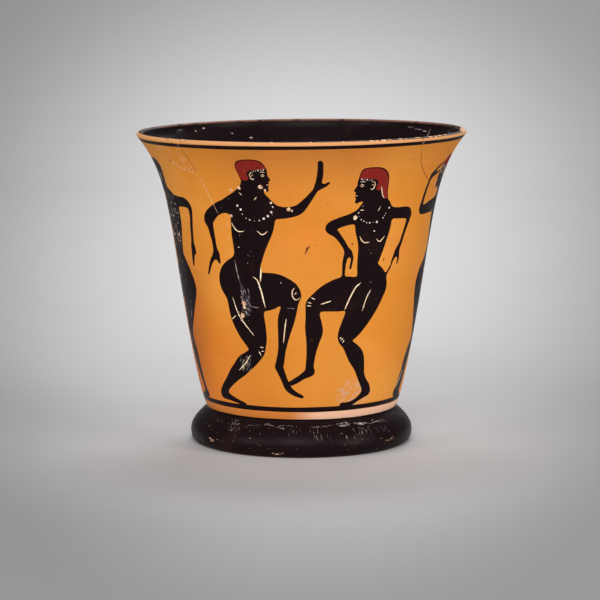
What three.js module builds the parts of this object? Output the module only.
// A fired clay drinking tumbler: a hollow body that flares to a rounded lip, on a thick ring foot.
// It is thrown on a wheel, so one section turned about the axis makes the whole vessel.
// Millimetres, +Z up. The origin is the centre of the ring that the tumbler stands on.
import * as THREE from 'three';

// Outside
const HEIGHT = 103.7;
const LIP_RADIUS = 54.6;
const WAIST_RADIUS = 31.4;
const FOOT_RADIUS = 37;
const FOOT_HEIGHT = 11.7;
const FOOT_BULGE_HEIGHT = 3.9;

// The wall leans out evenly, and the mouth's flare is added near the top
const FLARE = 7.7;
const TAPER_POWER = 0.73;
const FLARE_POWER = 8.7;

// Clay thickness
const WALL_THICKNESS = 3.6;
const LIP_THICKNESS = 2.4;
const FLOOR_THICKNESS = 5;
const LIP_ROUND = 1.1;
const FLOOR_CORNER = 8;

// Underside
const RING_OUTER_RADIUS = 34.4;
const RING_WIDTH = 8.6;
const RECESS_DEPTH = 4.2;
const RECESS_CORNER = 6;

// The hand-thrown mouth isn't quite level: it stands this much higher at +X than at the axis
const MOUTH_RISE = 0.5;

// Fineness of the facets
const SIDES = 64;
const WALL_STEPS = 18;
const CURVE_STEPS = 5;

const LIP_SPRING_HEIGHT = HEIGHT - LIP_ROUND;
const FLOOR_HEIGHT = RECESS_DEPTH + FLOOR_THICKNESS;

// How far up the wall a height lies, from 0 at the foot to 1 where the lip's round begins.
function riseAt(z) {
  const rise = (z - FOOT_HEIGHT) / (LIP_SPRING_HEIGHT - FOOT_HEIGHT);
  return Math.max(0, rise);
}

function outerRadius(z) {
  const rise = riseAt(z);
  const taper = LIP_RADIUS - FLARE - WAIST_RADIUS;
  return WAIST_RADIUS + taper * rise ** TAPER_POWER + FLARE * rise ** FLARE_POWER;
}

function innerRadius(z) {
  const rise = riseAt(z);
  const thickness = WALL_THICKNESS + (LIP_THICKNESS - WALL_THICKNESS) * rise;
  return outerRadius(z) - thickness;
}

// Heights from low to high, closest together at both ends, where the wall bends most.
function wallHeights(low, high) {
  const heights = [];
  for (let step = 0; step <= WALL_STEPS; step += 1) {
    const share = (1 - Math.cos((Math.PI * step) / WALL_STEPS)) / 2;
    heights.push(low + (high - low) * share);
  }
  return heights;
}

// Points of a bend from start to end, pulled towards the corner, without the start itself.
function bend(start, corner, end) {
  const curve = new THREE.QuadraticBezierCurve(start, corner, end);
  return curve.getPoints(CURVE_STEPS).slice(1);
}

function point(radius, height) {
  return new THREE.Vector2(radius, height);
}

// From the axis out to the ring that the tumbler stands on.
function undersideSection() {
  const ringInner = RING_OUTER_RADIUS - RING_WIDTH;
  const recessEnd = point(ringInner - RECESS_CORNER, RECESS_DEPTH);
  const ringStart = point(ringInner, 0);
  const corner = point(ringInner - RECESS_CORNER / 3, RECESS_DEPTH);
  return [point(0, RECESS_DEPTH), recessEnd, ...bend(recessEnd, corner, ringStart)];
}

// The foot's round outside, from the ring up to the crease under the wall.
function footSection() {
  const ringEnd = point(RING_OUTER_RADIUS, 0);
  const widest = point(FOOT_RADIUS, FOOT_BULGE_HEIGHT);
  const crease = point(WAIST_RADIUS, FOOT_HEIGHT);
  const lowCorner = point(FOOT_RADIUS, 0);
  const highCorner = point(FOOT_RADIUS, FOOT_BULGE_HEIGHT + (FOOT_HEIGHT - FOOT_BULGE_HEIGHT) * 0.43);
  return [ringEnd, ...bend(ringEnd, lowCorner, widest), ...bend(widest, highCorner, crease)];
}

function outerWallSection() {
  const heights = wallHeights(FOOT_HEIGHT, LIP_SPRING_HEIGHT).slice(1);
  return heights.map((z) => point(outerRadius(z), z));
}

// Half an oval over the top of the wall, between its two faces.
function lipSection() {
  const middle = LIP_RADIUS - LIP_THICKNESS / 2;
  const steps = 6;
  const points = [];
  for (let step = 1; step < steps; step += 1) {
    const turn = (Math.PI * step) / steps;
    points.push(point(middle + (LIP_THICKNESS / 2) * Math.cos(turn), LIP_SPRING_HEIGHT + LIP_ROUND * Math.sin(turn)));
  }
  return points;
}

// Down the inside, round the corner of the floor and back to the axis.
function insideSection() {
  const cornerTop = FLOOR_HEIGHT + FLOOR_CORNER;
  const heights = wallHeights(cornerTop, LIP_SPRING_HEIGHT).reverse();
  const wall = heights.map((z) => point(innerRadius(z), z));
  const wallEnd = wall[wall.length - 1];
  const corner = point(innerRadius(FLOOR_HEIGHT), FLOOR_HEIGHT);
  const floorStart = point(corner.x - FLOOR_CORNER, FLOOR_HEIGHT);
  return [...wall, ...bend(wallEnd, corner, floorStart), point(0, FLOOR_HEIGHT)];
}

// Tips the upper part a little, as the drying pot did, and leaves the foot flat.
function tipMouth(geometry) {
  const position = geometry.getAttribute('position');
  for (let i = 0; i < position.count; i += 1) {
    const across = position.getX(i) / LIP_RADIUS;
    const up = position.getZ(i) / HEIGHT;
    position.setZ(i, position.getZ(i) + MOUTH_RISE * across * up ** 2);
  }
  geometry.computeVertexNormals();
}

function makeTumbler() {
  const section = [
    ...undersideSection(),
    ...footSection(),
    ...outerWallSection(),
    ...lipSection(),
    ...insideSection(),
  ];
  const geometry = new THREE.LatheGeometry(section, SIDES);
  geometry.rotateX(Math.PI / 2);
  tipMouth(geometry);
  const clay = new THREE.MeshStandardMaterial({ color: 0xd9903c, roughness: 0.45, metalness: 0 });
  const tumbler = new THREE.Mesh(geometry, clay);
  tumbler.name = 'tumbler';
  return tumbler;
}

const part = new THREE.Group();
part.add(makeTumbler());

export default part;
